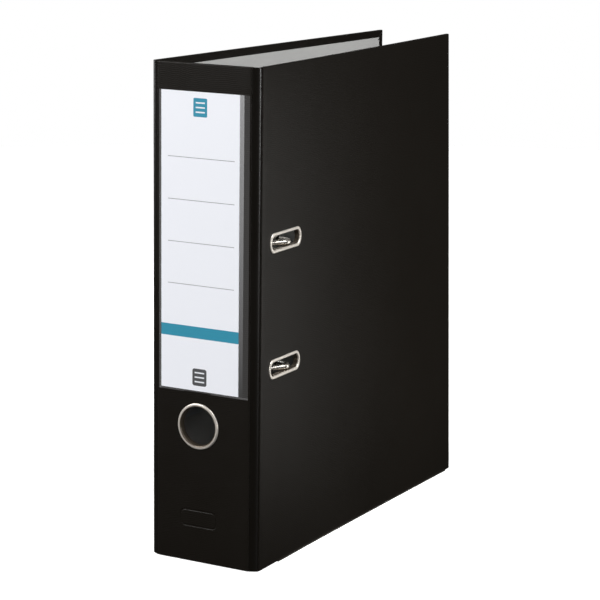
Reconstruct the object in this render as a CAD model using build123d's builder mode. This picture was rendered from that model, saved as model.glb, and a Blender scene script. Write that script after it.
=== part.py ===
from build123d import *
import os
from math import cos, radians, sin

os.makedirs("parts", exist_ok=True)

# A lever arch file, closed and standing on its bottom edges. Millimetres.
# X runs across the spine, from the back cover (-X) to the front cover (+X).
# Y runs from the spine (-Y) to the fore edges (+Y), Z is up.
# The origin is the middle of the bottom of the whole object.

# Overall size
height = 318.0
depth = 285.0
width = 79.4

# Case: a board between an outer foil, turned in round its edges, and an inner lining
board_thickness = 2.0
foil_thickness = 0.3
turn_in = 5.0
lining_gap = 0.1
back_lean = 2.35
front_lean = 1.5

# Gutters, the flexible folds between the spine and the covers
gutter_across = 5.75
gutter_deep = 3.94
gutter_strip = 0.6
gutter_sink = 0.4
gutter_dip = 1.3

# Edge guards, the metal rails that the file slides on
guard_metal = 0.4
guard_start = 25.0
guard_stop = 7.0
guard_outer_leg = 0.5
guard_inner_leg = 5.0

# Slots in the front cover, each with a two-part metal rim
slot_length = 40.4
slot_height = 12.7
slot_end_bulge = 3.2
slot_corner = 4.4
slot_beyond_arch = 1.8
slot_middle_height = 168.0
rim_width = 1.9
rim_proud = 0.7
rim_tube = 0.4
rim_round = 0.64
clamp_thickness = 0.4
clamp_lip = 0.3
clamp_lip_width = 0.5

# Finger ring in the spine
ring_radius = 14.9
ring_band = 2.4
ring_proud = 0.9
ring_tube = 0.5
ring_lip = 0.8
ring_lip_thickness = 0.3
ring_round = 0.84
ring_across = -3.3
ring_height = 89.7
washer_thickness = 0.5

# Label pocket, a clear film welded to the spine on three sides, and its card
pocket_left = -32.2
pocket_right = 32.9
pocket_bottom = 111.4
pocket_top = 300.7
film_thickness = 0.2
pocket_side_weld = 1.5
pocket_right_weld = 2.5
pocket_bottom_weld = 1.2
thumb_notch = 20.0
thumb_notch_across = -4.0
thumb_notch_radius = 1.0
card_thickness = 0.3
card_width = 56.6
card_clearance = 0.1

# Mechanism, on the inside of the back cover
ring_pitch = 80.0
mechanism_below_slots = 2.5
plate_length = 164.0
plate_from_spine = 6.5
plate_beyond_post = 9.5
plate_thickness = 1.0
plate_corner = 6.0
plate_flange = 1.2
plate_flange_length = 140.0
rivet_radius = 2.2
rivet_head = 4.0
rivet_head_inside = 0.9
rivet_head_outside = 0.35
rivet_inset = 8.5
rivet_pitch = 146.0
post_from_spine = 49.0
post_radius = 2.6
post_height = 61.5
post_bore = 1.9
post_bore_depth = 8.0
post_collar = 4.2
post_collar_height = 2.4

# Arches: one bent wire each, joined by a shaft with a crank
wire_radius = 1.8
shaft_from_spine = 11.0
shaft_above = 6.0
shaft_bend = 4.0
shoulder_above = 57.4
shoulder_bend = 14.0
peak_above = 74.5
peak_bend = 5.0
tip_gap = 0.4
tip_length = 1.4
tip_taper = 30.0
crank_reach = 13.0
crank_drop = 1.5
crank_half = 9.5
crank_bend = 3.0
bearing_offset = 31.5
bearing_length = 8.0
bearing_wall = 1.6
running_gap = 0.05

# Lever, its bracket and its roller
lever_from_spine = 33.0
lever_above = 13.0
lever_length = 42.0
lever_angle = 125.0
lever_metal = 1.2
lever_hub = 4.0
cheek_offset = 4.2
web_offset = 1.0
web_start = 8.0
roller_arm = 10.0
roller_angle = 205.0
roller_radius = 2.3
roller_half = 4.1
roller_pin_radius = 1.0
cheek_nose = 2.0
lug_offset = 6.2
lug_metal = 1.2
lug_round = 4.5
lug_foot = 10.0
lever_pin_radius = 1.5
lever_pin_head = 2.3
lever_pin_head_thickness = 0.8
grip_length = 16.0
grip_width = 15.0
grip_thickness = 5.0
spring_half_width = 3.0
spring_metal = 0.3
spring_length = 7.4

# Compressor bar, which slides on the posts
bar_width = 11.0
bar_length = 104.0
bar_metal = 1.2
bar_flange = 2.6
bar_gap = 0.6
post_clearance = 0.25
bar_grip_length = 11.0
bar_grip_height = 6.0
catch_width = 9.0
catch_length = 13.0
catch_height = 3.2

# Worked out from the sizes above
panel_thickness = board_thickness + 2 * foil_thickness
case_bottom = guard_metal
spine_face = ring_proud - depth / 2
spine_width = width - 2 * gutter_across
cover_start = spine_face + gutter_deep
hinge_inset = 1.36
rim_bead = min(rim_round, 0.95 * rim_proud, 0.48 * rim_width)
ring_bead = min(ring_round, 0.95 * ring_proud, 0.48 * ring_band)
slot_far_end = post_from_spine + wire_radius + slot_beyond_arch + rim_width
slot_from_spine = slot_far_end - slot_length / 2
plate_width = post_from_spine + plate_beyond_post - plate_from_spine
pocket_depth = film_thickness + card_thickness + 2 * card_clearance
mechanism_middle = slot_middle_height - mechanism_below_slots
arch_heights = {
    "upper": mechanism_middle + ring_pitch / 2,
    "lower": mechanism_middle - ring_pitch / 2,
}
slot_heights = {
    "upper": slot_middle_height + ring_pitch / 2,
    "lower": slot_middle_height - ring_pitch / 2,
}


class Panel:
    """A board of the case, drawn on its outer face. Its sketches run from its left or hinge edge."""

    def __init__(self, plane, length, inward, fore_turn_in):
        self.plane = plane
        self.length = length
        self.inward = inward
        self.fore_turn_in = fore_turn_in

    def at(self, below):
        """The plane this far below the outer face."""
        return self.plane.offset(self.inward * below)

    def slab(self, below, thickness, x_span, z_span, mode=Mode.ADD):
        with BuildSketch(self.at(below)) as outline:
            with Locations(((x_span[0] + x_span[1]) / 2, (z_span[0] + z_span[1]) / 2)):
                Rectangle(x_span[1] - x_span[0], z_span[1] - z_span[0])
        extrude(outline.sketch, amount=self.inward * thickness, mode=mode)


def save(piece, label):
    piece.part.label = label
    export_step(piece.part, f"parts/{label}.step")
    print(label, round(piece.part.volume, 2), len(piece.part.solids()))


def cover_plane(x, turn):
    """A cover's outer face, turned this many degrees about its gutter from square to the spine."""
    along = (-sin(radians(turn)), cos(radians(turn)), 0)
    across = (cos(radians(turn)), sin(radians(turn)), 0)
    return Plane((x, cover_start, 0), along, across)


def cover_length(lean):
    return (depth / 2 - cover_start) / cos(radians(lean))


spine_plane = Plane((-spine_width / 2, spine_face, 0), (1, 0, 0), (0, -1, 0))
spine = Panel(spine_plane, spine_width, -1, 0)
front = Panel(cover_plane(width / 2, front_lean), cover_length(front_lean), -1, turn_in)
back = Panel(cover_plane(-width / 2, -back_lean), cover_length(back_lean), 1, turn_in)
mechanism = back.at(panel_thickness)


def mechanism_point(from_spine, above, z):
    """A point of the mechanism: how far from the spine's face, how far above the lining, and its height."""
    return mechanism.from_local_coords((from_spine - gutter_deep, z, above))


def mechanism_section(z, from_spine=gutter_deep, above=0):
    """A level plane across the mechanism. X runs to the fore edge and Y away from the back cover."""
    return Plane(mechanism_point(from_spine, above, z), mechanism.x_dir, (0, 0, -1))


# Outlines that several pieces share

def slot_outline(grow):
    """A slot with flat sides and gently bulged ends, this much larger all round than its rim."""
    half = slot_length / 2 + grow
    flat = half - slot_end_bulge
    rise = slot_height / 2 + grow
    with BuildSketch(mode=Mode.PRIVATE) as outline:
        with BuildLine():
            Line((-flat, rise), (flat, rise))
            ThreePointArc((flat, rise), (half, 0), (flat, -rise))
            Line((flat, -rise), (-flat, -rise))
            ThreePointArc((-flat, -rise), (-half, 0), (-flat, rise))
        make_face()
        fillet(outline.vertices(), slot_corner + grow)
    return outline.sketch


rim_outline = slot_outline(0)
tube_outline = slot_outline(rim_tube - rim_width)
slot_opening = slot_outline(-rim_width)
lip_outline = slot_outline(rim_tube - rim_width + clamp_lip_width)


def slot_layer(outline, z, below, thickness, mode=Mode.ADD):
    """One layer of a slot's rim, or of the hole for it, at this depth below the front cover's face."""
    along = (slot_from_spine - gutter_deep) / cos(radians(front_lean))
    with BuildSketch(front.at(below)) as layer:
        with Locations((along, z)):
            add(outline)
    extrude(layer.sketch, amount=front.inward * thickness, mode=mode)


def cut_slots(below, thickness):
    for z in slot_heights.values():
        slot_layer(tube_outline, z, below, thickness, Mode.SUBTRACT)


def cut_finger_hole(below, thickness):
    with BuildSketch(spine.at(below)) as hole:
        with Locations((ring_across + spine_width / 2, ring_height)):
            Circle(ring_radius - ring_band + ring_tube)
    extrude(hole.sketch, amount=spine.inward * thickness, mode=Mode.SUBTRACT)


# Case: boards, foils and linings

def board(panel):
    """Greyboard, with room for the foil round all four edges."""
    x_span = (foil_thickness, panel.length - foil_thickness)
    z_span = (case_bottom + foil_thickness, height - foil_thickness)
    panel.slab(foil_thickness, board_thickness, x_span, z_span)


def foil(panel):
    """The skin over the outer face and the edges, turned in onto the inner face."""
    panel.slab(0, panel_thickness, (0, panel.length), (case_bottom, height))
    x_span = (foil_thickness, panel.length - foil_thickness)
    z_span = (case_bottom + foil_thickness, height - foil_thickness)
    panel.slab(foil_thickness, board_thickness, x_span, z_span, Mode.SUBTRACT)
    x_span = (foil_thickness, panel.length - max(panel.fore_turn_in, foil_thickness))
    z_span = (case_bottom + turn_in, height - turn_in)
    panel.slab(foil_thickness + board_thickness, foil_thickness, x_span, z_span, Mode.SUBTRACT)


def lining(panel):
    """Paper glued to the board inside the turned-in foil."""
    x_low = foil_thickness + lining_gap
    x_high = panel.length - max(panel.fore_turn_in, foil_thickness) - lining_gap
    z_span = (case_bottom + turn_in + lining_gap, height - turn_in - lining_gap)
    panel.slab(foil_thickness + board_thickness, foil_thickness, (x_low, x_high), z_span)


with BuildPart() as spine_board:
    board(spine)
    cut_finger_hole(0, panel_thickness)
save(spine_board, "spine_board")

with BuildPart() as spine_foil:
    foil(spine)
    cut_finger_hole(0, panel_thickness)
save(spine_foil, "spine_foil")

with BuildPart() as spine_lining:
    lining(spine)
    cut_finger_hole(0, panel_thickness)
save(spine_lining, "spine_lining")

with BuildPart() as front_board:
    board(front)
    cut_slots(0, panel_thickness)
save(front_board, "front_board")

with BuildPart() as front_foil:
    foil(front)
    cut_slots(0, panel_thickness)
save(front_foil, "front_foil")

with BuildPart() as front_lining:
    lining(front)
    cut_slots(0, panel_thickness)
save(front_lining, "front_lining")


def rivet_places():
    """Where the mechanism's rivets stand: distance from the spine's face, and height."""
    middle = plate_from_spine + plate_width / 2
    for across in (-1, 1):
        for up in (-1, 1):
            from_spine = middle + across * (plate_width / 2 - rivet_inset)
            yield from_spine, mechanism_middle + up * rivet_pitch / 2


def cut_rivet_holes(below, thickness):
    with BuildSketch(back.at(below)) as holes:
        with Locations(*[(from_spine - gutter_deep, z) for from_spine, z in rivet_places()]):
            Circle(rivet_radius)
    extrude(holes.sketch, amount=back.inward * thickness, mode=Mode.SUBTRACT)


with BuildPart() as back_board:
    board(back)
    cut_rivet_holes(0, panel_thickness)
save(back_board, "back_board")

with BuildPart() as back_foil:
    foil(back)
    cut_rivet_holes(0, panel_thickness)
save(back_foil, "back_foil")

with BuildPart() as back_lining:
    lining(back)
    cut_rivet_holes(0, panel_thickness)
save(back_lining, "back_lining")


# Gutters

def gutter(panel, side):
    """The strip from the spine's edge to a cover's edge, in a shallow groove, meeting both edges square."""
    below = panel.plane.z_dir * panel.inward
    away = panel.plane.x_dir * -1
    with BuildSketch(Plane.XY.offset(case_bottom)) as section:
        with BuildLine():
            skins = []
            for sink in (gutter_sink, gutter_sink + gutter_strip):
                start = Vector(side * spine_width / 2, spine_face + sink, 0)
                end = Vector(side * width / 2, cover_start, 0) + below * sink
                skins.append((start, end))
                reach = gutter_dip + sink - gutter_sink
                Bezier(start, start + Vector(side * reach, 0, 0), end + away * reach, end)
            for outer, inner in zip(*skins):
                Line(outer, inner)
        make_face()
    extrude(section.sketch, amount=height - case_bottom)


with BuildPart() as front_gutter:
    gutter(front, 1)
save(front_gutter, "front_gutter")

with BuildPart() as back_gutter:
    gutter(back, -1)
save(back_gutter, "back_gutter")


# Edge guards

def edge_guard(panel):
    """A metal channel under a cover's bottom edge, with a low outer leg and a taller inner leg."""
    x_span = (guard_start, panel.length - guard_stop)
    panel.slab(-guard_metal, panel_thickness + 2 * guard_metal, x_span, (0, guard_metal))
    panel.slab(-guard_metal, guard_metal, x_span, (0, guard_metal + guard_outer_leg))
    panel.slab(panel_thickness, guard_metal, x_span, (0, guard_metal + guard_inner_leg))


with BuildPart() as front_guard:
    edge_guard(front)
save(front_guard, "front_guard")

with BuildPart() as back_guard:
    edge_guard(back)
save(back_guard, "back_guard")


# Slot rims and clamps

def slot_rim(z):
    """The outer half: a rounded band on the face, a tube through the cover and a lip over the clamp."""
    slot_layer(rim_outline, z, -rim_proud, rim_proud)
    slot_layer(tube_outline, z, 0, panel_thickness + clamp_thickness)
    slot_layer(lip_outline, z, panel_thickness + clamp_thickness, clamp_lip)
    full = rim_proud + panel_thickness + clamp_thickness + clamp_lip
    slot_layer(slot_opening, z, -rim_proud, full, Mode.SUBTRACT)
    top = front.at(-rim_proud)
    face_edges = [edge for edge in edges() if abs(top.to_local_coords(edge.center()).Z) < rim_bead / 10]
    fillet(face_edges, rim_bead)


def slot_clamp(z):
    """The inner half: a flat band on the lining, held by the rim's lip."""
    slot_layer(rim_outline, z, panel_thickness, clamp_thickness)
    slot_layer(tube_outline, z, panel_thickness, clamp_thickness, Mode.SUBTRACT)


for place, z in slot_heights.items():
    with BuildPart() as rim:
        slot_rim(z)
    save(rim, f"slot_rim_{place}")
    with BuildPart() as clamp:
        slot_clamp(z)
    save(clamp, f"slot_clamp_{place}")


# Finger ring

ring_plane = Plane((ring_across, spine_face, ring_height), (1, 0, 0), (0, 0, 1))
ring_axis = Axis((ring_across, spine_face, ring_height), (0, 1, 0))
ring_bore = ring_radius - ring_band
ring_tube_end = panel_thickness + washer_thickness

with BuildPart() as finger_ring:
    with BuildSketch(ring_plane):
        with BuildLine():
            Polyline(
                (ring_bore, -ring_proud),
                (ring_radius, -ring_proud),
                (ring_radius, 0),
                (ring_bore + ring_tube, 0),
                (ring_bore + ring_tube, ring_tube_end),
                (ring_bore + ring_tube + ring_lip, ring_tube_end),
                (ring_bore + ring_tube + ring_lip, ring_tube_end + ring_lip_thickness),
                (ring_bore, ring_tube_end + ring_lip_thickness),
                close=True,
            )
        profile = make_face()
        fillet(profile.vertices().group_by(Axis.Y)[0], ring_bead)
    revolve(axis=ring_axis)
save(finger_ring, "finger_ring")

with BuildPart() as finger_ring_washer:
    with BuildSketch(spine.at(panel_thickness)):
        with Locations((ring_across + spine_width / 2, ring_height)):
            Circle(ring_radius)
            Circle(ring_bore + ring_tube, mode=Mode.SUBTRACT)
    extrude(amount=spine.inward * washer_thickness)
save(finger_ring_washer, "finger_ring_washer")


# Label pocket and card

def spine_x(x):
    """A place across the spine, from the spine's middle to the panel's own left edge."""
    return x + spine_width / 2


with BuildPart() as label_pocket:
    x_span = (spine_x(pocket_left), spine_x(pocket_right))
    z_span = (pocket_bottom, pocket_top)
    spine.slab(-pocket_depth, film_thickness, x_span, z_span)
    spine.slab(-pocket_depth, pocket_depth, (x_span[0], x_span[0] + pocket_side_weld), z_span)
    spine.slab(-pocket_depth, pocket_depth, (x_span[1] - pocket_right_weld, x_span[1]), z_span)
    spine.slab(-pocket_depth, pocket_depth, x_span, (pocket_bottom, pocket_bottom + pocket_bottom_weld))
    with BuildSketch(spine.at(-pocket_depth)):
        with Locations((spine_x(thumb_notch_across), pocket_bottom)):
            RectangleRounded(thumb_notch, 2 * pocket_bottom_weld / 3, thumb_notch_radius / 3)
    extrude(amount=spine.inward * pocket_depth, mode=Mode.SUBTRACT)
save(label_pocket, "label_pocket")

with BuildPart() as label_card:
    card_left = spine_x(pocket_left) + pocket_side_weld + card_clearance
    card_bottom = pocket_bottom + pocket_bottom_weld + card_clearance
    spine.slab(
        -card_clearance - card_thickness,
        card_thickness,
        (card_left, card_left + card_width),
        (card_bottom, pocket_top),
    )
save(label_card, "label_card")


# Mechanism: base plate, rivets, bearings, posts

plate_middle = plate_from_spine + plate_width / 2 - gutter_deep

with BuildPart() as base_plate:
    with BuildSketch(mechanism):
        with Locations((plate_middle, mechanism_middle)):
            RectangleRounded(plate_width, plate_length, plate_corner)
    extrude(amount=plate_thickness)
    with BuildSketch(mechanism):
        with Locations((plate_middle, mechanism_middle)):
            with GridLocations(plate_width - plate_thickness, 1, 2, 1):
                Rectangle(plate_thickness, plate_flange_length)
    extrude(amount=plate_thickness + plate_flange)
    cut_rivet_holes(panel_thickness, plate_thickness)
save(base_plate, "base_plate")

with BuildPart() as mechanism_rivets:
    for from_spine, z in rivet_places():
        place = (from_spine - gutter_deep, z)
        with BuildSketch(back.at(-rivet_head_outside)):
            with Locations(place):
                Circle(rivet_head)
        extrude(amount=rivet_head_outside)
        with BuildSketch(back.at(0)):
            with Locations(place):
                Circle(rivet_radius)
        extrude(amount=panel_thickness + plate_thickness)
        with BuildSketch(back.at(panel_thickness + plate_thickness)):
            with Locations(place):
                Circle(rivet_head)
        extrude(amount=rivet_head_inside, taper=20)
save(mechanism_rivets, "mechanism_rivets")


def bearing(z):
    """A strap formed over the arch shaft, with a running hole."""
    round_top = wire_radius + running_gap + bearing_wall
    with BuildSketch(mechanism_section(z, shaft_from_spine, shaft_above)) as strap:
        Circle(round_top)
        with Locations((0, (plate_thickness - shaft_above) / 2)):
            Rectangle(2 * round_top, shaft_above - plate_thickness)
        Circle(wire_radius + running_gap, mode=Mode.SUBTRACT)
    extrude(strap.sketch, amount=bearing_length / 2, both=True)


def post(z):
    """A fixed post with a collar at its foot and a bore in its top, which the arch's tip meets."""
    place = (post_from_spine - gutter_deep, z)
    for radius, start, end in (
        (post_collar, plate_thickness, plate_thickness + post_collar_height),
        (post_radius, plate_thickness, post_height),
    ):
        with BuildSketch(mechanism.offset(start)) as disc:
            with Locations(place):
                Circle(radius)
        extrude(disc.sketch, amount=end - start)
    with BuildSketch(mechanism.offset(post_height)) as bore:
        with Locations(place):
            Circle(post_bore)
    extrude(bore.sketch, amount=-post_bore_depth, mode=Mode.SUBTRACT)


for place, side in (("upper", 1), ("lower", -1)):
    with BuildPart() as strap:
        bearing(mechanism_middle + side * bearing_offset)
    save(strap, f"bearing_{place}")
    with BuildPart() as pin:
        post(arch_heights[place])
    save(pin, f"post_{place}")


# Arches and their shaft

def bent_wire(points, radii):
    with BuildLine() as path:
        FilletPolyline(points, radius=radii)
    with BuildSketch(Plane(origin=path.line @ 0, z_dir=path.line % 0)) as section:
        Circle(wire_radius)
    sweep(section.sketch, path=path.line)
    return path.line


def arch(z, side):
    """From the shaft's end round into the leg, over the shoulder to the peak, and down onto the post."""
    tip_start = post_height + tip_gap + tip_length
    line = bent_wire(
        [
            mechanism_point(shaft_from_spine, shaft_above, mechanism_middle + side * bearing_offset),
            mechanism_point(shaft_from_spine, shaft_above, z),
            mechanism_point(shaft_from_spine, shoulder_above, z),
            mechanism_point(post_from_spine, peak_above, z),
            mechanism_point(post_from_spine, tip_start, z),
        ],
        [shaft_bend, shoulder_bend, peak_bend],
    )
    with BuildSketch(Plane(origin=line @ 1, z_dir=line % 1)) as tip:
        Circle(wire_radius)
    extrude(tip.sketch, amount=tip_length, taper=tip_taper)


for place, side in (("upper", 1), ("lower", -1)):
    with BuildPart() as wire:
        arch(arch_heights[place], side)
    save(wire, f"arch_{place}")

with BuildPart() as arch_shaft:
    low = mechanism_middle - bearing_offset
    high = mechanism_middle + bearing_offset
    crank_low = mechanism_middle - crank_half
    crank_high = mechanism_middle + crank_half
    crank_from_spine = shaft_from_spine + crank_reach
    crank_above = shaft_above - crank_drop
    bent_wire(
        [
            mechanism_point(shaft_from_spine, shaft_above, low),
            mechanism_point(shaft_from_spine, shaft_above, crank_low),
            mechanism_point(crank_from_spine, crank_above, crank_low),
            mechanism_point(crank_from_spine, crank_above, crank_high),
            mechanism_point(shaft_from_spine, shaft_above, crank_high),
            mechanism_point(shaft_from_spine, shaft_above, high),
        ],
        [crank_bend] * 4,
    )
save(arch_shaft, "arch_shaft")

with BuildPart() as opening_spring:
    half = spring_length / 2
    crest = crank_above - wire_radius - running_gap - plate_thickness
    with BuildSketch(mechanism_section(mechanism_middle, crank_from_spine, plate_thickness)) as strip:
        with BuildLine():
            ThreePointArc((-half, 0), (0, crest), (half, 0))
            Line((half, 0), (half - spring_metal, 0))
            ThreePointArc((half - spring_metal, 0), (0, crest - spring_metal), (spring_metal - half, 0))
            Line((spring_metal - half, 0), (-half, 0))
        make_face()
    extrude(amount=spring_half_width, both=True)
save(opening_spring, "opening_spring")


# Lever, bracket, pins and roller

def lever_place(distance, angle):
    """A place in the lever's section, from its pin."""
    return (distance * cos(radians(angle)), distance * sin(radians(angle)))


roller_place = lever_place(roller_arm, roller_angle)
lever_section = mechanism_section(mechanism_middle, lever_from_spine, lever_above)


def section_layer(outline, inner, outer, mode=Mode.ADD):
    """The outline on both sides of the lever's middle, between two distances from it."""
    for side in (-1, 1):
        layer = outline.moved(Location(lever_section.offset(side * inner)))
        extrude(layer, amount=side * (outer - inner), mode=mode)


with BuildSketch() as lug_outline:
    Circle(lug_round)
    with Locations((0, plate_thickness - lever_above)):
        Rectangle(lug_foot, 1, align=(Align.CENTER, Align.MIN))
    make_hull()
    Circle(lever_pin_radius, mode=Mode.SUBTRACT)

with BuildPart() as lever_bracket:
    section_layer(lug_outline.sketch, lug_offset, lug_offset + lug_metal)
    with BuildSketch(mechanism.offset(plate_thickness)):
        with Locations((lever_from_spine - gutter_deep, mechanism_middle)):
            Rectangle(lug_foot, 2 * lug_offset)
    extrude(amount=lug_metal)
save(lever_bracket, "lever_bracket")

with BuildPart() as lever_pin:
    with BuildSketch(lever_section):
        Circle(lever_pin_radius)
    extrude(amount=lug_offset + lug_metal, both=True)
    with BuildSketch() as head:
        Circle(lever_pin_head)
    section_layer(head.sketch, lug_offset + lug_metal, lug_offset + lug_metal + lever_pin_head_thickness)
save(lever_pin, "lever_pin")

with BuildSketch() as cheek_outline:
    Circle(lever_hub)
    with Locations(roller_place):
        Circle(cheek_nose)
    make_hull()
    with BuildSketch() as arm_outline:
        Circle(lever_hub)
        with Locations(lever_place(lever_length - grip_length / 2, lever_angle)):
            Circle(web_offset + lever_metal)
        make_hull()
    Circle(lever_pin_radius + running_gap, mode=Mode.SUBTRACT)
    with Locations(roller_place):
        Circle(roller_pin_radius, mode=Mode.SUBTRACT)

web_plane = Plane(
    lever_section.origin,
    lever_section.from_local_coords(lever_place(1, lever_angle) + (0,)) - lever_section.origin,
    lever_section.from_local_coords(lever_place(1, lever_angle - 90) + (0,)) - lever_section.origin,
)
lever_half_width = cheek_offset + lever_metal

with BuildPart() as lever:
    section_layer(cheek_outline.sketch, cheek_offset, lever_half_width)
    with BuildSketch(web_plane.offset(web_offset)):
        with Locations(((web_start + lever_length) / 2, 0)):
            Rectangle(lever_length - web_start, 2 * lever_half_width)
    extrude(amount=lever_metal)
save(lever, "lever")

with BuildPart() as lever_grip:
    with BuildSketch(web_plane.offset(web_offset + lever_metal / 2 - grip_thickness / 2)):
        with Locations((lever_length - grip_length / 2, 0)):
            RectangleRounded(grip_length, grip_width, grip_width / 3)
    extrude(amount=grip_thickness)
    fillet(edges().filter_by(GeomType.CIRCLE) + edges().filter_by(GeomType.LINE).filter_by(
        lambda edge: edge.length > grip_thickness + running_gap or edge.length < grip_thickness - running_gap
    ), grip_thickness / 4)
    add(lever.part, mode=Mode.SUBTRACT)
save(lever_grip, "lever_grip")

with BuildPart() as roller:
    with BuildSketch(lever_section):
        with Locations(roller_place):
            Circle(roller_radius)
            Circle(roller_pin_radius + running_gap, mode=Mode.SUBTRACT)
    extrude(amount=roller_half, both=True)
save(roller, "roller")

with BuildPart() as roller_pin:
    with BuildSketch(lever_section):
        with Locations(roller_place):
            Circle(roller_pin_radius)
    extrude(amount=lever_half_width, both=True)
save(roller_pin, "roller_pin")


# Compressor bar, its end grips and its catch

bar_place = (post_from_spine - gutter_deep, mechanism_middle)
bar_above = plate_thickness + post_collar_height + bar_gap
post_places = [(post_from_spine - gutter_deep, z) for z in arch_heights.values()]

with BuildPart() as compressor_bar:
    with BuildSketch(mechanism.offset(bar_above)):
        with Locations(bar_place):
            RectangleRounded(bar_width, bar_length, bar_width / 4)
    extrude(amount=bar_metal)
    with BuildSketch(mechanism.offset(bar_above)):
        with Locations(bar_place):
            with GridLocations(bar_width - bar_metal, 1, 2, 1):
                Rectangle(bar_metal, bar_length - bar_width)
    extrude(amount=bar_metal + bar_flange)
    with BuildSketch(mechanism.offset(bar_above)):
        with Locations(*post_places):
            Circle(post_radius + post_clearance)
    extrude(amount=bar_metal + bar_flange, mode=Mode.SUBTRACT)
save(compressor_bar, "compressor_bar")

for place, side in (("upper", 1), ("lower", -1)):
    with BuildPart() as grip:
        middle = mechanism_middle + side * (bar_length / 2 + bar_grip_length / 4)
        with BuildSketch(mechanism.offset(bar_above)):
            with Locations((bar_place[0], middle)):
                RectangleRounded(bar_width + 2 * bar_metal, bar_grip_length, bar_width / 4)
        extrude(amount=bar_grip_height)
        fillet(edges().group_by(Axis(mechanism.origin, mechanism.z_dir))[-1], bar_metal)
        add(compressor_bar.part, mode=Mode.SUBTRACT)
    save(grip, f"compressor_grip_{place}")

with BuildPart() as compressor_catch:
    with BuildSketch(mechanism.offset(bar_above + bar_metal)):
        with Locations(post_places[1]):
            Rectangle(catch_width - 2 * bar_metal, catch_length)
            Circle(post_radius + post_clearance, mode=Mode.SUBTRACT)
    extrude(amount=catch_height)
save(compressor_catch, "compressor_catch")

print("hinge axes at x", round(width / 2 - hinge_inset, 3), "y", round(spine_face + hinge_inset, 3))
print("arch axis", mechanism_point(shaft_from_spine, shaft_above, mechanism_middle))
print("lever axis", mechanism_point(lever_from_spine, lever_above, mechanism_middle))
print("roller axis", lever_section.from_local_coords(roller_place + (0,)))
print("post foot", mechanism_point(post_from_spine, post_height, arch_heights["upper"]), mechanism.z_dir)
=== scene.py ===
from math import cos, pi, radians, sin, tan, tau

import bpy
from mathutils import Matrix, Vector


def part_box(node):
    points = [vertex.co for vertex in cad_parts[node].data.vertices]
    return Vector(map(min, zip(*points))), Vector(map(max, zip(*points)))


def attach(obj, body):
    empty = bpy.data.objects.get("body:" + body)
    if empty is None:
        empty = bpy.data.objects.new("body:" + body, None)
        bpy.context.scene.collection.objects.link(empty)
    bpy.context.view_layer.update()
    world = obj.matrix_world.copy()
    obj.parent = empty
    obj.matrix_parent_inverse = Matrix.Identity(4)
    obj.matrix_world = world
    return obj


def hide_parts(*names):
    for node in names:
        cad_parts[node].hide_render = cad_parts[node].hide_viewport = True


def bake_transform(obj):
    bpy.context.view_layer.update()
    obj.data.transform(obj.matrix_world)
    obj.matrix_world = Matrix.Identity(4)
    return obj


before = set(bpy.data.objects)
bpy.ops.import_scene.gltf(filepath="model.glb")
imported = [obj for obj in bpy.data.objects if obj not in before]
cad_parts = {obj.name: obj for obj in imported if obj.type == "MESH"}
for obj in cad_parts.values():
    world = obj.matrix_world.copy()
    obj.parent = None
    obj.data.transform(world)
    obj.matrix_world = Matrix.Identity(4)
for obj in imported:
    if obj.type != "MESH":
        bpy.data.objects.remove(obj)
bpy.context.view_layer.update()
mm = 0.001

# sizes of the case that several pieces share, in metres, and how far each cover leans in, in degrees
case = {
    "width": 79.4 * mm,
    "spineWidth": 67.9 * mm,
    "thickness": 2.6 * mm,
    "foil": 0.3 * mm,
    "turnIn": 5.0 * mm,
    "gutterDeep": 3.94 * mm,
    "frontLean": 1.5,
    "backLean": 2.35,
    "bottom": 0.4 * mm,
}
case["top"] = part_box("spine_foil")[1][2]
case["spineFace"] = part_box("spine_foil")[0][1]
case["coverStart"] = case["spineFace"] + case["gutterDeep"]
case["foreEdge"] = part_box("front_foil")[1][1]
print("frame loaded:", len(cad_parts), "nodes")


# shader writing: a Wire is a socket that takes part in sums
class Wire:
    def __init__(self, finish, socket):
        self.finish = finish
        self.socket = socket

    def maths(self, operation, *values):
        inputs = {place: value for place, value in enumerate(values)}
        return self.finish.node("ShaderNodeMath", {"operation": operation}, inputs)

    def __add__(self, other):
        return self.maths("ADD", self, other)

    def __radd__(self, other):
        return self.maths("ADD", other, self)

    def __sub__(self, other):
        return self.maths("SUBTRACT", self, other)

    def __rsub__(self, other):
        return self.maths("SUBTRACT", other, self)

    def __mul__(self, other):
        return self.maths("MULTIPLY", self, other)

    def __rmul__(self, other):
        return self.maths("MULTIPLY", other, self)

    def __truediv__(self, other):
        return self.maths("DIVIDE", self, other)

    def __pow__(self, other):
        return self.maths("POWER", self, other)

    def __abs__(self):
        return self.maths("ABSOLUTE", self)

    def larger(self, other):
        return self.maths("MAXIMUM", self, other)

    def sine(self):
        return self.maths("SINE", self)

    def clamped(self):
        return self.maths("MINIMUM", self.maths("MAXIMUM", self, 0), 1)

    # 1 where the value is under the edge, 0 past it, with a soft step between
    def under(self, edge, soft=0.0001):
        return ((edge - self) / soft + 0.5).clamped()


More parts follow.
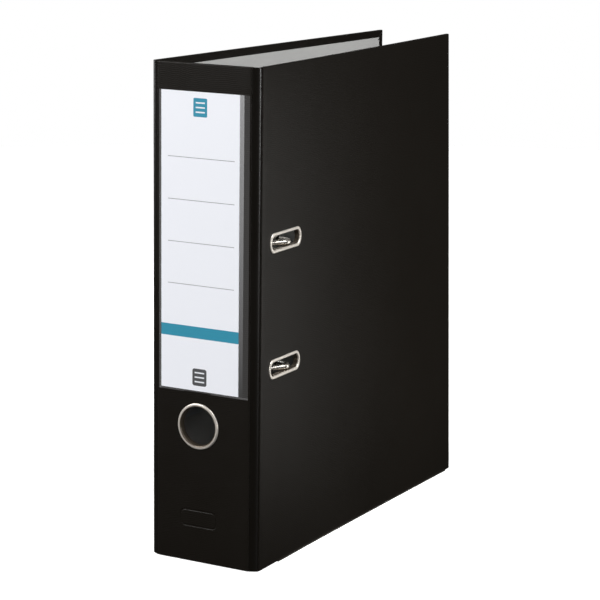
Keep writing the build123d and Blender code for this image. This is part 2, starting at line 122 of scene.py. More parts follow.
class Finish:
    def __init__(self, name):
        self.material = bpy.data.materials.new(name)
        self.material.use_nodes = True
        self.tree = self.material.node_tree
        self.tree.nodes.clear()
        self.output = self.tree.nodes.new("ShaderNodeOutputMaterial")

    # any node: its settings first, then the values or links of its sockets; gives back one output
    def node(self, kind, settings=None, inputs=None, output=0):
        made = self.tree.nodes.new(kind)
        for key, value in (settings or {}).items():
            setattr(made, key, value)
        for key, value in (inputs or {}).items():
            if isinstance(value, Wire):
                self.tree.links.new(value.socket, made.inputs[key])
            else:
                made.inputs[key].default_value = value
        return Wire(self, made.outputs[output])

    def place(self):
        return self.node("ShaderNodeTexCoord", output="Object")

    def xyz(self):
        spread = self.node("ShaderNodeSeparateXYZ", inputs={0: self.place()})
        return [Wire(self, socket) for socket in spread.socket.node.outputs]

    def stretched(self, scale):
        return self.node("ShaderNodeMapping", inputs={"Vector": self.place(), "Scale": scale})

    def noise(self, scale, detail, where=None):
        inputs = {"Vector": where or self.place(), "Scale": scale, "Detail": detail}
        return self.node("ShaderNodeTexNoise", inputs=inputs)

    def mix(self, factor, first, second):
        inputs = {0: factor, 6: first, 7: second}
        return self.node("ShaderNodeMix", {"data_type": "RGBA"}, inputs, output=2)

    def bump(self, height, distance, strength=1.0, under=None):
        inputs = {"Height": height, "Distance": distance, "Strength": strength}
        if under:
            inputs["Normal"] = under
        return self.node("ShaderNodeBump", inputs=inputs)

    def surface(self, inputs):
        shader = self.node("ShaderNodeBsdfPrincipled", inputs=inputs)
        self.tree.links.new(shader.socket, self.output.inputs["Surface"])
        return self.material


# the finger ring's middle, and the radius of the hole behind it
ringLow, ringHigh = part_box("finger_ring")
ring = {"across": (ringLow[0] + ringHigh[0]) / 2, "height": (ringLow[2] + ringHigh[2]) / 2, "hole": 13.4 * mm}


# black plastic foil with a fine wavy grain that lies level round the whole case
foilLook = {
    "colour": (0.0032, 0.0022, 0.0010, 1),
    "worn": (0.0078, 0.0062, 0.0044, 1),
    "roughness": 0.42,
    "waveStep": 1.15 * mm,
    "waveHeight": 0.05 * mm,
}


def makeFoil(name):
    look = foilLook
    finish = Finish(name)
    z = finish.xyz()[2]
    sway = finish.noise(140, 2, finish.stretched((1, 1, 0.35)))
    wander = finish.noise(38, 1, finish.stretched((1, 1, 0.6)))
    phase = z / look["waveStep"] + (sway - 0.5) * 2.2 + (wander - 0.5) * 5.0
    waves = (phase * tau).sine() * 0.5 + 0.5
    breaks = finish.noise(420, 1, finish.stretched((1, 1, 2.2)))
    grainHeight = waves * 0.62 + breaks * 0.38
    patches = finish.noise(9, 3)
    smears = finish.noise(60, 4)
    roughness = look["roughness"] + (patches - 0.5) * 0.10 + (smears - 0.5) * 0.08 + (1 - waves) * 0.05
    colour = finish.mix((patches * 0.6 + waves * 0.3).clamped(), look["colour"], look["worn"])
    return finish, {
        "Base Color": colour,
        "Roughness": roughness,
        "Specular IOR Level": 0.165,
        "Normal": finish.bump(grainHeight, look["waveHeight"]),
    }


finish, sockets = makeFoil("blackFoil")
blackFoil = finish.surface(sockets)


# the spine's own foil: the same, with a pressed frame low down where a mark would be
pressedFrame = {
    "across": -2.9 * mm,
    "height": 29.2 * mm,
    "half": (13 * mm, 5.2 * mm),
    "round": 3.2 * mm,
    "line": 0.5 * mm,
    "edge": 0.3 * mm,
    "depth": 0.15 * mm,
}


# how far a place is outside a box with rounded corners, less than 0 inside it
def roundedBox(u, v, middle, half, radius):
    sideways = (abs(u - middle[0]) - (half[0] - radius)).larger(0)
    upwards = (abs(v - middle[1]) - (half[1] - radius)).larger(0)
    return (sideways * sideways + upwards * upwards) ** 0.5 - radius


def makeSpineFoil():
    finish, sockets = makeFoil("spineFoil")
    x, y, z = finish.xyz()
    centre = (pressedFrame["across"], pressedFrame["height"])
    distance = roundedBox(x, z, centre, pressedFrame["half"], pressedFrame["round"])
    line = abs(distance).under(pressedFrame["line"], pressedFrame["edge"])
    sockets["Normal"] = finish.bump(1 - line, pressedFrame["depth"], 1.0, sockets["Normal"])
    return finish.surface(sockets)


spineFoil = makeSpineFoil()


def makeGutterFoil():
    finish = Finish("gutterFoil")
    ripples = finish.noise(55, 3, finish.stretched((1, 1, 0.25)))
    fine = finish.noise(600, 2)
    roughness = 0.28 + (ripples - 0.5) * 0.12
    bump = finish.bump(ripples * 0.8 + fine * 0.05, 0.25 * mm, 0.6)
    return finish.surface({
        "Base Color": finish.mix(ripples, foilLook["colour"], (0.0052, 0.0044, 0.0034, 1)),
        "Roughness": roughness,
        "Specular IOR Level": 0.4,
        "Normal": bump,
    })


gutterFoil = makeGutterFoil()


def makeLiningPaper():
    finish = Finish("liningPaper")
    fibres = finish.noise(700, 3, finish.stretched((1, 0.25, 1)))
    clouds = finish.noise(14, 3)
    spread = (fibres * 0.5 + clouds * 0.5).clamped()
    return finish.surface({
        "Base Color": finish.mix(spread, (0.43, 0.43, 0.42, 1), (0.51, 0.51, 0.50, 1)),
        "Roughness": 0.78 + (clouds - 0.5) * 0.1,
        "Normal": finish.bump(fibres, 0.04 * mm, 0.5),
    })


liningPaper = makeLiningPaper()


def makeGreyboard():
    finish = Finish("greyboard")
    flecks = finish.noise(380, 4)
    layers = finish.noise(900, 2, finish.stretched((3, 3, 0.4)))
    colour = finish.mix(flecks, (0.20, 0.19, 0.17, 1), (0.36, 0.34, 0.31, 1))
    return finish.surface({
        "Base Color": colour,
        "Roughness": 0.9,
        "Normal": finish.bump(layers, 0.08 * mm, 0.6),
    })


greyboard = makeGreyboard()


# bright nickel plate, with faint brushing and a few dull spots
def makeNickel(name, colour, dark, roughness, brushing):
    finish = Finish(name)
    clouds = finish.noise(70, 3)
    brushed = finish.noise(1500, 2, finish.stretched(brushing))
    return finish.surface({
        "Base Color": finish.mix(clouds, colour, dark),
        "Metallic": 1.0,
        "Roughness": roughness + (clouds - 0.5) * 0.10 + (brushed - 0.5) * 0.08,
        "Normal": finish.bump(brushed, 0.01 * mm, 0.4),
    })


# the rims and the ring are satin nickel; inside the slots' tubes and the ring's bore their colour is darkened
# as painted shade
satinLook = {
    "colour": (0.80, 0.755, 0.69, 1),
    "dark": (0.70, 0.655, 0.59, 1),
    "tubeShade": (0.10, 0.08, 0.06, 1),
    "metal": 0.6,
    "roughness": 0.36,
    "tubeShadeStart": 0.35 * mm,
    "tubeShadeEnd": 8 * mm,
    "ringClear": 13.3 * mm,
}


def makeSatinNickel():
    finish = Finish("satinNickel")
    x, y, z = finish.xyz()
    lean = radians(case["frontLean"])
    # painted shade: the colour turns dark deeper in than the cover's face, in the slot tubes, and inside the
    # ring's bore
    depth = case["width"] / 2 - x - (y - case["coverStart"]) * tan(lean)
    tubeShadeMask = (1 - depth.under(satinLook["tubeShadeStart"])) * depth.under(satinLook["tubeShadeEnd"])
    sideways, upwards = x - ring["across"], z - ring["height"]
    tubeShadeMask = tubeShadeMask.larger(((sideways * sideways + upwards * upwards) ** 0.5).under(satinLook["ringClear"]))
    clouds = finish.noise(70, 3)
    plain = finish.mix(clouds, satinLook["colour"], satinLook["dark"])
    return finish.surface({
        "Base Color": finish.mix(tubeShadeMask, plain, satinLook["tubeShade"]),
        "Metallic": satinLook["metal"],
        "Roughness": satinLook["roughness"] + (clouds - 0.5) * 0.08,
        "Normal": finish.bump(clouds, 0.01 * mm, 0.3),
    })


nickel = makeNickel("nickel", (0.80, 0.765, 0.71, 1), (0.70, 0.665, 0.61, 1), 0.25, (0.2, 0.2, 1))
satinNickel = makeSatinNickel()
zincSteel = makeNickel("zincSteel", (0.62, 0.64, 0.66, 1), (0.50, 0.52, 0.55, 1), 0.34, (1, 1, 0.1))
springSteel = makeNickel("springSteel", (0.44, 0.42, 0.40, 1), (0.32, 0.30, 0.29, 1), 0.30, (1, 0.1, 1))


def makeBlackPlastic():
    finish = Finish("blackPlastic")
    grain = finish.noise(1300, 2)
    clouds = finish.noise(60, 2)
    colour = finish.mix(clouds, (0.012, 0.012, 0.013, 1), (0.022, 0.022, 0.023, 1))
    return finish.surface({
        "Base Color": colour,
        "Roughness": 0.42 + (clouds - 0.5) * 0.12,
        "Normal": finish.bump(grain, 0.03 * mm, 0.6),
    })


blackPlastic = makeBlackPlastic()


# the label: rules, a teal band and two plain signs, all measured down from the card's top
labelLook = {
    "paper": (0.87, 0.895, 0.955, 1),
    "ink": (0.10, 0.10, 0.11, 1),
    "teal": (0.006, 0.255, 0.385, 1),
    "badge": (0.055, 0.058, 0.062, 1),
    "ruleTop": 40.9 * mm,
    "ruleStep": 26.6 * mm,
    "ruleMiddle": 0.7 * mm,
    "ruleHalf": 24.1 * mm,
    "ruleLine": 0.19 * mm,
    "bandTop": 146.9 * mm,
    "bandBottom": 154.4 * mm,
    "sheetSign": {"down": 9.6 * mm, "half": (5.0 * mm, 5.8 * mm), "round": 0.8 * mm},
    "badgeSign": {"down": 179.2 * mm, "half": (5.2 * mm, 5.5 * mm), "round": 1.5 * mm},
    "signStep": 2.9 * mm,
    "signLine": 0.45 * mm,
    "signMargin": 1.7 * mm,
    "signInk": (0.80, 0.83, 0.88, 1),
    "cloudPaper": (0.855, 0.88, 0.94, 1),
}


def makeLabel():
    look = labelLook
    low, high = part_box("label_card")
    middle = (low[0] + high[0]) / 2
    top = high[2]
    finish = Finish("labelPrint")
    x, y, z = finish.xyz()
    down = top - z
    across = x - middle
    inRule = abs(across - look["ruleMiddle"]).under(look["ruleHalf"])
    rules = 0
    for count in range(4):
        rule = abs(down - (look["ruleTop"] + count * look["ruleStep"])).under(look["ruleLine"])
        rules = rule * inRule + rules
    band = down.under(look["bandBottom"]) * (1 - down.under(look["bandTop"]))
    sheet = look["sheetSign"]
    badge = look["badgeSign"]
    sheetMask = roundedBox(across, down, (0, sheet["down"]), sheet["half"], sheet["round"]).under(0)
    badgeMask = roundedBox(across, down, (0, badge["down"]), badge["half"], badge["round"]).under(0)
    lines = 0
    for count in (-1, 0, 1):
        for sign in (sheet, badge):
            line = abs(down - (sign["down"] + count * look["signStep"])).under(look["signLine"])
            lines = line * abs(across).under(sign["half"][0] - look["signMargin"]) + lines
    fibres = finish.noise(900, 2)
    clouds = finish.noise(25, 2)
    paper = finish.mix(clouds, look["paper"], look["cloudPaper"])
    colour = finish.mix(rules.clamped() * 0.85, paper, look["ink"])
    colour = finish.mix(band, colour, look["teal"])
    colour = finish.mix(sheetMask, colour, look["teal"])
    colour = finish.mix(badgeMask, colour, look["badge"])
    colour = finish.mix(lines.clamped(), colour, look["signInk"])
    return finish.surface({
        "Base Color": colour,
        "Roughness": 0.55 + (clouds - 0.5) * 0.1,
        "Normal": finish.bump(fibres, 0.015 * mm, 0.4),
    })


labelPrint = makeLabel()


# clear film: nearly unseen over the card, ribbed along its welds, and milky where it slopes down beside the
# card, a painted reflection that grows lighter towards the top
filmLook = {
    "left": -30.7 * mm,
    "slopeStart": 26.1 * mm,
    "slopeEnd": 29.0 * mm,
    "weldTop": 112.6 * mm,
    "weldAcross": 0.3 * mm,
    "weldUp": 0.25 * mm,
    "weldHeight": 0.22 * mm,
    "notch": (-14 * mm, 6 * mm, 0.4 * mm),
    "sheet": 0.18 * mm,
    "edge": 0.1 * mm,
    "ribStep": 1.3 * mm,
    "overCard": 0.02,
    "paintedGlareTop": 0.27,
    "paintedGlareBottom": 0.01,
    "weld": 0.004,
    "foot": 0.05,
    "leftSide": 0.07,
    "rib": 0.02,
}


def makeFilm():
    look = filmLook
    low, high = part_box("label_pocket")
    finish = Finish("clearFilm")
    x, y, z = finish.xyz()
    height = ((z - low[2]) / (high[2] - low[2])).clamped()
    inSlope = (1 - x.under(look["slopeStart"])) * x.under(look["slopeEnd"])
    inLeft = x.under(look["left"])
    inFoot = z.under(look["weldTop"])
    inWeld = inLeft.larger(1 - x.under(look["slopeEnd"])).larger(inFoot)
    extra = inFoot * look["foot"] + inLeft * look["leftSide"]
    ribs = (((z / look["ribStep"]) * tau).sine() * 0.5 + 0.5) * (1 - x.under(look["slopeEnd"]))
    waves = finish.noise(16, 2, finish.stretched((1, 1, 0.4)))
    # painted reflection: the sloping strip's film is made more opaque towards the top, standing in for glare
    # off the film
    paintedGlare = look["paintedGlareBottom"] + height * (look["paintedGlareTop"] - look["paintedGlareBottom"]) + (waves - 0.5) * 0.08
    alpha = look["overCard"] + inSlope * paintedGlare + inWeld * (look["weld"] + ribs * look["rib"]) + extra
    return finish.surface({
        "Base Color": finish.mix(inWeld, (0.72, 0.73, 0.75, 1), (0.62, 0.62, 0.63, 1)),
        "Roughness": 0.1 + inWeld * 0.2 + (waves - 0.5) * 0.04,
        "Specular IOR Level": 0.4,
        "Alpha": alpha,
        "Normal": finish.bump(waves + ribs * 0.6, 0.2 * mm, 0.3),
    })


clearFilm = makeFilm()
print("finishes made")


# modelling helpers: each picks faces or edges by where they are, then an operator acts on them
def block(name, low, high):
    bpy.ops.object.select_all(action="DESELECT")
    middle = [(a + b) / 2 for a, b in zip(low, high)]
    bpy.ops.mesh.primitive_cube_add(size=1, location=middle)
    piece = bpy.context.object
    piece.name = name
    piece.scale = [b - a for a, b in zip(low, high)]
    bpy.ops.object.transform_apply(location=True, rotation=True, scale=True)
    return piece


def alone(piece):
    bpy.ops.object.select_all(action="DESELECT")
    piece.select_set(True)
    bpy.context.view_layer.objects.active = piece


def pickFaces(piece, wanted):
    alone(piece)
    for part in (piece.data.vertices, piece.data.edges):
        part.foreach_set("select", [False] * len(part))
    for face in piece.data.polygons:
        face.select = wanted(face.center, face.normal)
    bpy.ops.object.mode_set(mode="EDIT")
    bpy.ops.mesh.select_mode(type="FACE")


def pickEdges(piece, wanted):
    alone(piece)
    for part in (piece.data.vertices, piece.data.polygons):
        part.foreach_set("select", [False] * len(part))
    corners = piece.data.vertices
    for edge in piece.data.edges:
        edge.select = wanted(corners[edge.vertices[0]].co, corners[edge.vertices[1]].co)
    bpy.ops.object.mode_set(mode="EDIT")
    bpy.ops.mesh.select_mode(type="EDGE")


def done():
    bpy.ops.object.mode_set(mode="OBJECT")


def applied(piece, kind, **settings):
    alone(piece)
    modifier = piece.modifiers.new(kind, kind)
    for key, value in settings.items():
        setattr(modifier, key, value)
    bpy.ops.object.modifier_apply(modifier=modifier.name)


def cutAway(piece, cutter):
    applied(piece, "BOOLEAN", operation="DIFFERENCE", object=cutter, solver="EXACT")
    bpy.data.objects.remove(cutter)


def smoothed(piece, angle=40):
    alone(piece)
    bpy.ops.object.shade_smooth_by_angle(angle=radians(angle))
    applied(piece, "WEIGHTED_NORMAL", keep_sharp=True, weight=90)


def stood(piece, corner, turn):
    alone(piece)
    piece.location = (corner[0], corner[1], 0)
    piece.rotation_euler = (0, 0, radians(turn))
    bpy.ops.object.transform_apply(location=True, rotation=True, scale=True)


def painted(piece, *finishes):
    piece.data.materials.clear()
    for material in finishes:
        piece.data.materials.append(material)


# the three panels of the case. Each is drawn lying along X, its outer face at Y 0 and its board behind that,
# and is then stood up in its place. The back cover is drawn from its fore edge.
coverStart, foreEdge = case["coverStart"], case["foreEdge"]
panels = {
    "spine": {
        "length": case["spineWidth"], "corner": (-case["spineWidth"] / 2, case["spineFace"]), "turn": 0,
        "turnIns": (case["foil"], case["foil"]), "folds": (), "gutters": (0, 1), "body": "spine",
    },
    "front": {
        "length": (foreEdge - coverStart) / cos(radians(case["frontLean"])),
        "corner": (case["width"] / 2, coverStart), "turn": 90 + case["frontLean"],
        "turnIns": (case["foil"], case["turnIn"]), "folds": (1,), "gutters": (0,), "body": "front",
    },
    "back": {
        "length": (foreEdge - coverStart) / cos(radians(case["backLean"])),
        "corner": None, "turn": -90 - case["backLean"],
        "turnIns": (case["turnIn"], case["foil"]), "folds": (0,), "gutters": (1,), "body": "back",
    },
}
leanBack = radians(case["backLean"])
panels["back"]["corner"] = (-case["width"] / 2 + panels["back"]["length"] * sin(leanBack), foreEdge)
skinLook = {
    "edgeRound": 0.62 * mm,
    "roundSteps": 3,
    "foilSheet": 0.27 * mm,
    "crownReach": 5.0 * mm,
    "crownDrop": 0.22 * mm,
    "crownSteps": 5,
    "foldWidth": 6.2 * mm,
    "foldRise": 0.13 * mm,
    "foldSink": 0.1 * mm,
}


def splitFaces(piece, wanted, place, direction):
    pickFaces(piece, wanted)
    bpy.ops.mesh.bisect(plane_co=place, plane_no=direction)
    done()


def makeSkin(name, panel):
    look = skinLook
    length, thick = panel["length"], case["thickness"]
    low, top = case["bottom"], case["top"]
    skin = block(name + "Skin", (0, 0, low), (length, thick, top))
    pickEdges(skin, lambda a, b: True)
    bpy.ops.mesh.bevel(offset=look["edgeRound"], segments=look["roundSteps"], affect="EDGES")
    done()
    # the outer face falls away a little towards a gutter
    outside = lambda c, n: n.y < -0.95 or abs(n.z) > 0.5
    for side in panel["gutters"]:
        edge = length if side else 0
        inward = -1 if side else 1
        for step in range(1, look["crownSteps"] + 1):
            reach = look["crownReach"] * step / look["crownSteps"] + look["edgeRound"] * 0.2
            splitFaces(skin, outside, (edge + inward * reach, 0, 0), (1, 0, 0))
        for vertex in skin.data.vertices:
            near = 1 - abs(vertex.co.x - edge) / look["crownReach"]
            if near > 0 and vertex.co.y < thick / 2:
                vertex.co.y += look["crownDrop"] * near * near
    # the inner face is open where the lining lies on the board
    left, right = panel["turnIns"]
    window = (left, length - right, low + case["turnIn"], top - case["turnIn"])
    inner = lambda c, n: n.y > 0.95
    splitFaces(skin, inner, (window[0], 0, 0), (1, 0, 0))
    splitFaces(skin, inner, (window[1], 0, 0), (1, 0, 0))
    splitFaces(skin, inner, (0, 0, window[2]), (0, 0, 1))
    splitFaces(skin, inner, (0, 0, window[3]), (0, 0, 1))
    inWindow = lambda c, n: n.y > 0.95 and window[0] < c.x < window[1] and window[2] < c.z < window[3]
    pickFaces(skin, inWindow)
    bpy.ops.mesh.delete(type="FACE")
    done()
    applied(skin, "SOLIDIFY", thickness=look["foilSheet"], offset=-1)
    return skin


# the doubled foil of a mitred corner, a thin wedge on the turned-in edge
def makeFold(panel, side, atTop):
    look = skinLook
    wide, rise = look["foldWidth"], look["foldRise"]
    length, thick = panel["length"], case["thickness"]
    inset = look["edgeRound"] * 1.2
    x = (length - inset - wide, length - inset) if side else (inset, inset + wide)
    corner = case["top"] - inset - wide if atTop else case["bottom"] + inset
    z = (corner, corner + wide)
    fold = block("fold", (x[0], thick - look["foldSink"], z[0]), (x[1], thick + rise, z[1]))
    lift = 1 if atTop else -1
    across = 1 if side else -1
    pickFaces(fold, lambda c, n: True)
    middle = ((x[0] + x[1]) / 2, 0, (z[0] + z[1]) / 2)
    bpy.ops.mesh.bisect(plane_co=middle, plane_no=(across, 0, -lift), use_fill=True, clear_inner=True)
    done()
    pickEdges(fold, lambda a, b: a.y > thick and b.y > thick)
    bpy.ops.mesh.bevel(offset=rise * 0.7, segments=2, affect="EDGES")
    done()
    return fold


def joinTo(piece, others):
    alone(piece)
    for other in others:
        other.select_set(True)
    bpy.ops.object.join()


# a slot's outline: flat sides and gently bulged ends, as a block that reaches through the cover
slot = {
    "length": 40.4 * mm,
    "height": 12.7 * mm,
    "bulge": 3.2 * mm,
    "fromSpine": 34.3 * mm,
    "underRim": 0.6 * mm,
    "through": (-5 * mm, 8 * mm),
    "slices": 10,
}


def slotBlock(name, z, grow, depth):
    along = (slot["fromSpine"] - case["gutterDeep"]) / cos(radians(case["frontLean"]))
    half = slot["length"] / 2 + grow
    flat = half - slot["bulge"]
    rise = slot["height"] / 2 + grow
    shape = block(name, (along - flat, depth[0], z - rise), (along + flat, depth[1], z + rise))
    for step in range(1, slot["slices"]):
        splitFaces(shape, lambda c, n: True, (0, 0, z - rise + 2 * rise * step / slot["slices"]), (0, 0, 1))
    for vertex in shape.data.vertices:
        level = (vertex.co.z - z) / rise
        side = 1 if vertex.co.x > along else -1
        vertex.co.x += side * slot["bulge"] * (1 - level * level)
    return shape


# the front cover is a little warped: its fore edge stands further in at the top than at the bottom
warp = {"start": -80 * mm, "atTop": -5.1 * mm, "atBottom": 3.8 * mm, "cuts": 14, "levels": 6, "curve": 1.3}


def cutForWarp(piece):
    reach = foreEdge - warp["start"]
    for step in range(warp["cuts"]):
        splitFaces(piece, lambda c, n: True, (0, warp["start"] + reach * step / warp["cuts"], 0), (0, 1, 0))
    for step in range(1, warp["levels"]):
        splitFaces(piece, lambda c, n: True, (0, 0, case["top"] * step / warp["levels"]), (0, 0, 1))


def warped(piece):
    for vertex in piece.data.vertices:
        along = (vertex.co.y - warp["start"]) / (foreEdge - warp["start"])
        if along > 0:
            shift = warp["atBottom"] + (warp["atTop"] - warp["atBottom"]) * vertex.co.z / case["top"]
            vertex.co.x += shift * along ** warp["curve"]


def copied(node, name):
    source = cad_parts[node]
    piece = bpy.data.objects.new(name, source.data.copy())
    bpy.context.collection.objects.link(piece)
    alone(piece)
    bpy.ops.object.mode_set(mode="EDIT")
    bpy.ops.mesh.select_all(action="SELECT")
    bpy.ops.mesh.remove_doubles(threshold=0.001 * mm)
    bpy.ops.mesh.dissolve_limited(angle_limit=radians(0.5))
    done()
    return piece


slotHeights = {}
for place in ("upper", "lower"):
    lowCorner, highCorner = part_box("slot_rim_" + place)
    slotHeights[place] = (lowCorner[2] + highCorner[2]) / 2

for name, panel in panels.items():
    skin = makeSkin(name, panel)
    joinTo(skin, [makeFold(panel, side, atTop) for side in panel["folds"] for atTop in (True, False)])
    if name == "front":
        for place, z in slotHeights.items():
            cutAway(skin, slotBlock("cutter", z, -slot["underRim"], slot["through"]))
    if name == "spine":
        bpy.ops.object.select_all(action="DESELECT")
        centre = (ring["across"] + case["spineWidth"] / 2, 0, ring["height"])
        bpy.ops.mesh.primitive_cylinder_add(
            vertices=64, radius=ring["hole"], depth=20 * mm, location=centre, rotation=(radians(90), 0, 0),
        )
        cutter = bpy.context.object
        bpy.ops.object.transform_apply(location=True, rotation=True, scale=True)
        cutAway(skin, cutter)
    stood(skin, panel["corner"], panel["turn"])
    if name == "front":
        cutForWarp(skin)
        warped(skin)
    smoothed(skin)
    painted(skin, spineFoil if name == "spine" else blackFoil)
    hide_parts(name + "_foil")
    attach(skin, panel["body"])

for node, name, material, slotName in (
    ("front_board", "frontBoard", greyboard, "greyboard"),
    ("front_lining", "frontLining", liningPaper, "grey_paper"),
    ("front_guard", "frontGuard", nickel, "nickel"),
):
    piece = copied(node, name)
    cutForWarp(piece)
    warped(piece)
    smoothed(piece, 30)
    painted(piece, material)
    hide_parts(node)
    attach(piece, "front")
print("skins made")


# the gutters: a glossy strip from the spine's edge to a cover's edge, a little slack at its ends
gutterLook = {
    "sink": 0.75 * mm,
    "dip": 1.3 * mm,
    "sheet": 0.6 * mm,
    "slack": 0.2 * mm,
    "steps": 14,
    "rows": 16,
}


def makeGutter(name, side, lean, coverBody):
    look = gutterLook
    bpy.ops.object.select_all(action="DESELECT")
    bpy.ops.mesh.primitive_grid_add(x_subdivisions=look["steps"], y_subdivisions=look["rows"], size=1)
    strip = bpy.context.object
    strip.name = name
    turn = radians(lean)
    along = Vector((-side * sin(turn), cos(turn), 0))
    inward = Vector((-side * cos(turn), -sin(turn), 0))
    start = Vector((side * case["spineWidth"] / 2, case["spineFace"] + look["sink"], 0))
    end = Vector((side * case["width"] / 2, case["coverStart"], 0)) + inward * look["sink"]
    first = start + Vector((side * look["dip"], 0, 0))
    second = end - along * look["dip"]
    for vertex in strip.data.vertices:
        t, up = vertex.co.x + 0.5, vertex.co.y + 0.5
        rest = 1 - t
        spot = start * rest ** 3 + first * 3 * rest * rest * t + second * 3 * rest * t * t + end * t ** 3
        slack = look["slack"] * sin(t * pi)
        low, high = case["bottom"] + slack, case["top"] - slack
        vertex.co = (spot.x, spot.y, low + (high - low) * up)
    alone(strip)
    bpy.ops.object.mode_set(mode="EDIT")
    bpy.ops.mesh.select_all(action="SELECT")
    bpy.ops.mesh.normals_make_consistent(inside=False)
    done()
    facing = sum(face.normal.dot(Vector((side, -1, 0))) for face in strip.data.polygons)
    applied(strip, "SOLIDIFY", thickness=look["sheet"], offset=-1 if facing > 0 else 1)
    smoothed(strip, 50)
    painted(strip, gutterFoil)
    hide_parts(coverBody + "_gutter")
    if coverBody == "front":
        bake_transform(strip)
    else:
        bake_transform(strip)


makeGutter("frontGutterSkin", 1, case["frontLean"], "front")
makeGutter("backGutterSkin", -1, case["backLean"], "back")
print("gutters made")


# the label pocket: film welded down on three sides, raised over the card
def makePocket():
    look = filmLook
    low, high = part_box("label_pocket")
    bpy.ops.object.select_all(action="DESELECT")
    bpy.ops.mesh.primitive_plane_add(size=1)
    pocket = bpy.context.object
    pocket.name = "pocketFilm"
    for vertex in pocket.data.vertices:
        u, v = vertex.co.x + 0.5, vertex.co.y + 0.5
        vertex.co = (low[0] + (high[0] - low[0]) * u, 0, low[2] + (high[2] - low[2]) * v)
    slope = look["slopeEnd"] - look["slopeStart"]
    columns = [look["left"], look["left"] + look["weldAcross"]]
    columns += [look["slopeStart"] + slope * step / 6 for step in range(7)]
    for x in columns:
        splitFaces(pocket, lambda c, n: True, (x, 0, 0), (1, 0, 0))
    for z in (look["weldTop"], look["weldTop"] + look["weldUp"], (low[2] + high[2]) / 2):
        splitFaces(pocket, lambda c, n: True, (0, 0, z), (0, 0, 1))
    raised = case["spineFace"] - low[1] - look["sheet"] - look["weldHeight"]
    for vertex in pocket.data.vertices:
        x, z = vertex.co.x, vertex.co.z
        lift = 1.0
        besideCard = x < look["left"] + look["edge"] or x > look["slopeEnd"] - look["edge"]
        if besideCard or z < look["weldTop"] + look["edge"]:
            lift = 0.0
        elif x > look["slopeStart"]:
            along = (x - look["slopeStart"]) / slope
            lift = 0.5 + 0.5 * cos(along * pi)
        vertex.co.y = case["spineFace"] - look["weldHeight"] - raised * lift
    applied(pocket, "SOLIDIFY", thickness=look["sheet"], offset=-1)
    start, end, rise = look["notch"]
    notch = block("notch", (start, low[1] - mm, low[2] - mm), (end, case["spineFace"] + mm, low[2] + rise))
    cutAway(pocket, notch)
    smoothed(pocket, 30)
    painted(pocket, clearFilm)
    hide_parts("label_pocket")
    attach(pocket, "spine")


makePocket()
print("label pocket made")


# which finish each part of the frame gets
nodeFinish = {
    greyboard: ["spine_board", "back_board"],
    liningPaper: ["spine_lining", "back_lining"],
    satinNickel: ["slot_rim_upper", "slot_rim_lower", "finger_ring"],
    nickel: [
        "back_guard", "slot_clamp_upper", "slot_clamp_lower", "finger_ring_washer",
        "post_upper", "post_lower", "arch_upper", "arch_lower", "arch_shaft", "lever",
    ],
    zincSteel: [
        "base_plate", "mechanism_rivets", "bearing_upper", "bearing_lower", "lever_bracket", "lever_pin",
        "roller", "roller_pin", "compressor_bar",
    ],
    springSteel: ["opening_spring"],
    blackPlastic: ["lever_grip", "compressor_grip_upper", "compressor_grip_lower", "compressor_catch"],
    labelPrint: ["label_card"],
}
for finishMaterial, names in nodeFinish.items():
    for name in names:
        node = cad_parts[name]
        node.data.materials.clear()
        node.data.materials.append(finishMaterial)
print("finishes given to the nodes")


# floor, light and camera
studio = {
    "floor": (0.90, 0.90, 0.895, 1),
    "floorRadius": 1.7,
    "floorGlow": 0.6,
    "backdrop": 1.0,
    "rise": ((0.0, 0.02), (0.36, 0.035), (0.50, 0.075), (0.62, 0.11), (1.0, 0.14)),
}


def makeFloor():
    bpy.ops.object.select_all(action="DESELECT")
    bpy.ops.mesh.primitive_circle_add(
        vertices=96, radius=studio["floorRadius"], fill_type="NGON", location=(0, 0.2, 0),
    )
    floor = bpy.context.object
    floor.name = "floor"
    finish = Finish("paleFloor")
    shade = finish.noise(1.5, 2)
    floor.data.materials.append(finish.surface({
        "Base Color": finish.mix(shade, studio["floor"], (0.885, 0.885, 0.88, 1)),
        "Roughness": 0.9,
        "Specular IOR Level": 0.1,
        "Emission Color": (1, 1, 1, 1),
        "Emission Strength": studio["floorGlow"],
    }))
    floor.visible_glossy = False
    floor.visible_diffuse = False


# soft surroundings, dark below and lighter overhead; white where they are seen directly
def makeWorld():
    world = bpy.data.worlds.new("studio")
    bpy.context.scene.world = world
    world.use_nodes = True
    tree = world.node_tree
    tree.nodes.clear()
    look = tree.nodes.new("ShaderNodeTexCoord")
    spread = tree.nodes.new("ShaderNodeSeparateXYZ")
    lift = tree.nodes.new("ShaderNodeMath")
    lift.operation = "MULTIPLY_ADD"
    lift.inputs[1].default_value = 0.5
    lift.inputs[2].default_value = 0.5
    ramp = tree.nodes.new("ShaderNodeValToRGB")
    while len(ramp.color_ramp.elements) < len(studio["rise"]):
        ramp.color_ramp.elements.new(0.5)
    for element, (place, light) in zip(ramp.color_ramp.elements, studio["rise"]):
        element.position = place
        element.color = (light, light, light, 1)
    paths = tree.nodes.new("ShaderNodeLightPath")
    lit = tree.nodes.new("ShaderNodeBackground")
    seen = tree.nodes.new("ShaderNodeBackground")
    seen.inputs["Color"].default_value = (1, 1, 1, 1)
    seen.inputs["Strength"].default_value = studio["backdrop"]
    choose = tree.nodes.new("ShaderNodeMixShader")
    output = tree.nodes.new("ShaderNodeOutputWorld")
    tree.links.new(look.outputs["Generated"], spread.inputs[0])
    tree.links.new(spread.outputs["Z"], lift.inputs[0])
    tree.links.new(lift.outputs[0], ramp.inputs[0])
    tree.links.new(ramp.outputs[0], lit.inputs["Color"])
    tree.links.new(paths.outputs["Is Camera Ray"], choose.inputs[0])
    tree.links.new(lit.outputs[0], choose.inputs[1])
    tree.links.new(seen.outputs[0], choose.inputs[2])
    tree.links.new(choose.outputs[0], output.inputs[0])


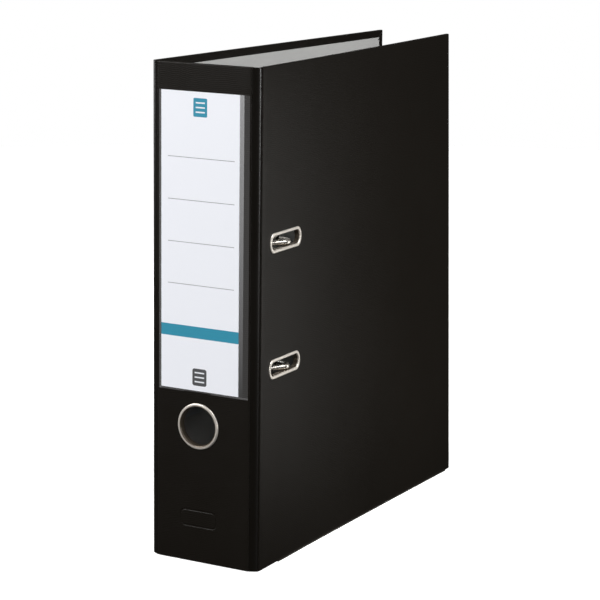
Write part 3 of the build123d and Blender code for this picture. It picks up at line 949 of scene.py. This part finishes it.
lamps = {
    "keyLeft": {"place": (-1.5, -1.8, 1.4), "size": (1.4, 1.4), "watts": 78, "colour": (1, 0.985, 0.975)},
    "topRight": {"place": (1.4, -0.1, 1.9), "size": (1.2, 1.2), "watts": 50, "colour": (1, 1, 1)},
    "leftPanel": {"place": (-1.8, 0.2, 0.6), "size": (0.7, 1.2), "watts": 4, "colour": (1, 1, 1)},
    "frontStrip": {"place": (1.9, -1.1, 0.3), "size": (0.3, 0.5), "watts": 12, "colour": (1, 1, 1)},
    "nearRight": {"place": (0.23, 0.1, 0.14), "size": (0.1, 0.3), "watts": 0.25, "colour": (1, 0.98, 0.95)},
}


def makeLamp(name, lamp):
    light = bpy.data.lights.new(name, "AREA")
    light.shape = "RECTANGLE"
    light.size, light.size_y = lamp["size"]
    light.energy = lamp["watts"]
    light.color = lamp["colour"]
    holder = bpy.data.objects.new(name, light)
    bpy.context.collection.objects.link(holder)
    holder.location = lamp["place"]
    holder.visible_camera = False
    aim = Vector((0, 0, 0.15)) - Vector(lamp["place"])
    holder.rotation_euler = aim.to_track_quat("-Z", "Y").to_euler()


# the camera stands to the front right, a little above the file: its place in metres, its turns in radians
view = {
    "place": (0.7368, -1.3227, 0.4579),
    "yaw": -0.5145,
    "pitch": -0.2027,
    "roll": 0.0122,
    "lens": 137.12,
}


def makeCamera():
    level = cos(view["pitch"])
    ahead = Vector((sin(view["yaw"]) * level, cos(view["yaw"]) * level, sin(view["pitch"])))
    right = Vector((cos(view["yaw"]), -sin(view["yaw"]), 0))
    up = right.cross(ahead)
    turnedRight = right * cos(view["roll"]) + up * sin(view["roll"])
    turnedUp = up * cos(view["roll"]) - right * sin(view["roll"])
    camera = bpy.data.cameras.new("camera")
    camera.lens = view["lens"]
    camera.sensor_width = 36
    camera.clip_end = 50
    holder = bpy.data.objects.new("camera", camera)
    bpy.context.collection.objects.link(holder)
    axes = Matrix((turnedRight, turnedUp, -ahead)).transposed()
    holder.matrix_world = Matrix.Translation(view["place"]) @ axes.to_4x4()
    bpy.context.scene.camera = holder


makeFloor()
makeWorld()
for name, lamp in lamps.items():
    makeLamp(name, lamp)
makeCamera()
bpy.context.scene.view_settings.view_transform = "Standard"
print("studio set")
